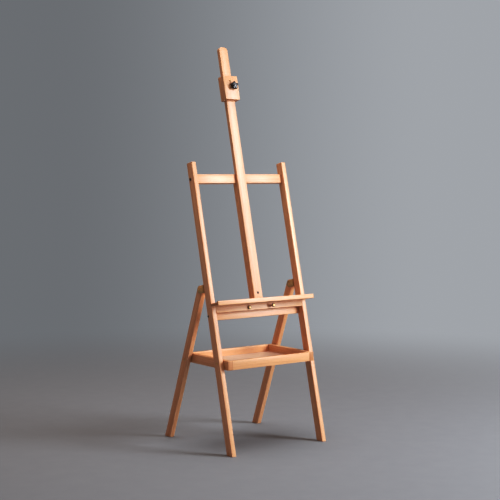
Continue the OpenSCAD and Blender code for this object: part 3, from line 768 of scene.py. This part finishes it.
# hinge brackets: a folded plate with an ear each side of the rear leg
EAR_X, BT, WEB, EAR_R = LEG_W / 2 + 0.4, 1.6, 30.0, 13.0
reach = -HINGE_N - LEG_D
for s, side in ((-1, "left"), (1, "right")):
    bm = bmesh.new()
    web = prism([(-EAR_X - BT, -WEB / 2), (EAR_X + BT, -WEB / 2), (EAR_X + BT, WEB / 2), (-EAR_X - BT, WEB / 2)], 0, BT, "xz")
    round_edges(web, 0.35, 2)
    add(bm, web)
    lead = math.atan2(WEB / 2, -reach)
    tang = math.acos(EAR_R / math.hypot(reach, WEB / 2))
    a0 = lead - tang
    for e in (-1, 1):
        pts = [(0, -WEB / 2), (0, WEB / 2)] if False else []
        pts.append((0.2, WEB / 2))
        for i in range(25):
            a = a0 - 2 * a0 * i / 24
            pts.append((reach + EAR_R * math.cos(a), EAR_R * math.sin(a)))
        pts.append((0.2, -WEB / 2))
        ear = prism(pts, EAR_X, EAR_X + BT, "yz")
        round_edges(ear, 0.35, 2)
        if e < 0:
            bmesh.ops.transform(ear, matrix=Matrix.Scale(-1, 4, (1, 0, 0)), verts=ear.verts[:])
            bmesh.ops.reverse_faces(ear, faces=ear.faces[:])
        add(bm, ear)
    finish_piece("hinge_bracket_%s_brass" % side, bm, LEANED @ Matrix.Translation((s * LEG_X * MM, LEG_D * MM, HINGE_S * MM)),
                 "frame", BRACKET, ("hinge_bracket_" + side,))
    bm = bmesh.new()
    o = EAR_X + BT
    add(bm, rod(3.0, -o - 0.05, o + 0.05), along_x(1))
    for e in (-1, 1):
        add(bm, head(6.0, 2.2, 1.2, "cross", 56, 22), at(e * o, 0, 0) @ along_x(e) @
            Matrix.Rotation(math.radians(38 * s + 11 * e), 4, "Z"))
    finish_piece("hinge_pin_%s_brass" % side, bm, LEANED @
                 Matrix.Translation((s * LEG_X * MM, -HINGE_N * MM, HINGE_S * MM)), "frame", BRASS,
                 ("hinge_pin_" + side,))

bm = bmesh.new()
for s in (-1, 1):
    for k in (-9.5, 9.5):
        t = at(s * LEG_X, LEG_D + BT, HINGE_S + k) @ BACKWARD @ Matrix.Rotation(math.radians(20 * k + 9 * s), 4, "Z")
        add(bm, head(3.6, 1.9, 1.0, "cross"), t)
        add(bm, rod(1.8, -16.6, 0.05), t)
finish_piece("bracket_screws_brass", bm, LEANED, "frame", BRASS, ("bracket_screws",))

bm = head(4.4, 2.6, 1.2, "slot")
add(bm, rod(1.6, -14, 0.05))
finish_piece("clamp_screw_brass", bm, LEANED @ Matrix.Translation((-1 * MM, -CL_FN * MM, (CL_S0 + 75.5) * MM)) @
             FORWARD @ Matrix.Rotation(math.radians(24), 4, "Z"), "clamp", BRACKET, ("clamp_screw",))
bm = bmesh.new()
for s in (-1, 1):
    for k in (20, 73):
        t = at(s * CL_HOLE, -CHEEK_N + 6, CL_S0 + k) @ BACKWARD @ \
            Matrix.Rotation(math.radians(k + 31 * s), 4, "Z")
        add(bm, head(3.4, 1.8, 0.9, "slot"), t)
        add(bm, rod(1.6, -28, 0.05), t)
finish_piece("clamp_back_screws_brass", bm, LEANED, "clamp", BRASS, ("clamp_back_screws",))

# ------------------------------------------------------------------ camera
AZ, DIST, HEIGHT, PITCH, FOCAL = math.radians(-36.44), 4.51516, 1.01338, math.radians(3.67), 1191.97
cam = bpy.data.objects.new("camera", bpy.data.cameras.new("camera"))
scene.collection.objects.link(cam)
cam.location = (math.sin(AZ) * DIST, -math.cos(AZ) * DIST, HEIGHT)
look = Vector((-math.sin(AZ) * math.cos(PITCH), math.cos(AZ) * math.cos(PITCH), -math.sin(PITCH)))
cam.rotation_mode = "QUATERNION"
cam.rotation_quaternion = look.to_track_quat("-Z", "Y")
cam.data.sensor_width = 36.0
cam.data.lens = 36.0 * FOCAL / 500
cam.data.shift_x = 5.25 / 500
cam.data.shift_y = 0.0
cam.data.clip_start, cam.data.clip_end = 0.05, 200.0
scene.camera = cam

# ------------------------------------------------------------------ studio
# a plain grey sweep, lit a little more on the easel's right
DIM, BRIGHT = (0.215, 0.225, 0.239, 1), (0.40, 0.415, 0.438, 1)
RIGHTWARD = (math.cos(AZ), math.sin(AZ), 0.0)
SWEEP = 0.16
world = bpy.data.worlds.new("studio")
scene.world = world
world.use_nodes = True
wt = world.node_tree
bg = wt.nodes["Background"]
bg.inputs["Color"].default_value = (1.0, 0.46, 0.21, 1)
bg.inputs["Strength"].default_value = 0.185
seen = wt.nodes.new("ShaderNodeBackground")
way = wt.nodes.new("ShaderNodeTexCoord")
across = wt.nodes.new("ShaderNodeVectorMath")
across.operation = "DOT_PRODUCT"
across.inputs[1].default_value = RIGHTWARD
wt.links.new(way.outputs["Generated"], across.inputs[0])
grade = wt.nodes.new("ShaderNodeMapRange")
grade.interpolation_type = "SMOOTHSTEP"
grade.inputs["From Min"].default_value = -SWEEP
grade.inputs["From Max"].default_value = SWEEP
wt.links.new(across.outputs["Value"], grade.inputs["Value"])
tint = wt.nodes.new("ShaderNodeMix")
tint.data_type = "RGBA"
tint.inputs[6].default_value = DIM
tint.inputs[7].default_value = BRIGHT
wt.links.new(grade.outputs["Result"], tint.inputs[0])
wt.links.new(tint.outputs[2], seen.inputs["Color"])
ray = wt.nodes.new("ShaderNodeLightPath")
mixed = wt.nodes.new("ShaderNodeMixShader")
wt.links.new(ray.outputs["Is Camera Ray"], mixed.inputs[0])
wt.links.new(bg.outputs[0], mixed.inputs[1])
wt.links.new(seen.outputs[0], mixed.inputs[2])
wt.links.new(mixed.outputs[0], wt.nodes["World Output"].inputs[0])

floor = bpy.data.objects.new("floor", bpy.data.meshes.new("floor"))
bm = bmesh.new()
bmesh.ops.create_circle(bm, cap_ends=True, segments=96, radius=60.0)
bm.to_mesh(floor.data)
bm.free()
scene.collection.objects.link(floor)
k = Tree("floor_pale")
dist = k.vmath("LENGTH", k.object_co())
speck = k.noise(k.object_co(), 14.0, 4.0, 0.6)
k.put(k.bsdf.inputs["Base Color"], k.mix(speck, (0.245, 0.262, 0.278), (0.27, 0.288, 0.304)))
k.bsdf.inputs["Roughness"].default_value = 0.8
k.bsdf.inputs["Specular IOR Level"].default_value = 0.2
# away from the easel the floor glows instead of taking light: painted light, darker on the easel's left and brighter on
# its right like the backdrop
em = k.t.nodes.new("ShaderNodeEmission")
stand = k.vmath("SUBTRACT", k.object_co(), (math.sin(AZ) * DIST, -math.cos(AZ) * DIST, 0.0))
u = k.math("DIVIDE", k.vmath("DOT_PRODUCT", stand, RIGHTWARD), k.vmath("LENGTH", stand))
k.put(em.inputs["Color"], k.mix(k.smooth(u, -SWEEP, SWEEP), DIM[:3], BRIGHT[:3]))
mx = k.t.nodes.new("ShaderNodeMixShader")
k.put(mx.inputs[0], k.smooth(dist, 0.6, 3.4))
k.link(k.bsdf.outputs[0], mx.inputs[1])
k.link(em.outputs[0], mx.inputs[2])
k.link(mx.outputs[0], k.out.inputs[0])
floor.data.materials.append(k.mat)


def area(name, where, aim, size, power, colour=(1, 1, 1)):
    l = bpy.data.objects.new(name, bpy.data.lights.new(name, "AREA"))
    l.data.shape = "DISK"
    l.data.size = size
    l.data.energy = power
    l.data.color = colour
    l.location = where
    l.visible_camera = False
    l.rotation_mode = "QUATERNION"
    l.rotation_quaternion = (Vector(aim) - Vector(where)).to_track_quat("-Z", "Y")
    scene.collection.objects.link(l)
    return l


area("key", (2.2, -2.9, 2.5), (0, 0, 0.8), 1.3, 104, (0.93, 0.98, 1.05))
area("front_soft", (2.1, -2.7, 1.15), (0, 0, 0.7), 1.7, 68, (0.93, 0.98, 1.05))
area("overhead", (0.1, 0.1, 4.4), (0.1, 0, 0), 3.6, 124, (0.97, 0.98, 1.0))
area("side_card", (-2.2, 2.1, 1.1), (0, 0, 0.7), 2.0, 6, (1.0, 0.80, 0.60))

scene.view_settings.view_transform = "Standard"
scene.view_settings.look = "None"
scene.view_settings.exposure = 0.0
scene.view_settings.gamma = 1.0
# a photographic toe: the shaded sides go deeper
scene.view_settings.use_curve_mapping = True
curve = scene.view_settings.curve_mapping.curves[3]
curve.points.new(0.16, 0.095)
curve.points.new(0.50, 0.47)
scene.view_settings.curve_mapping.update()
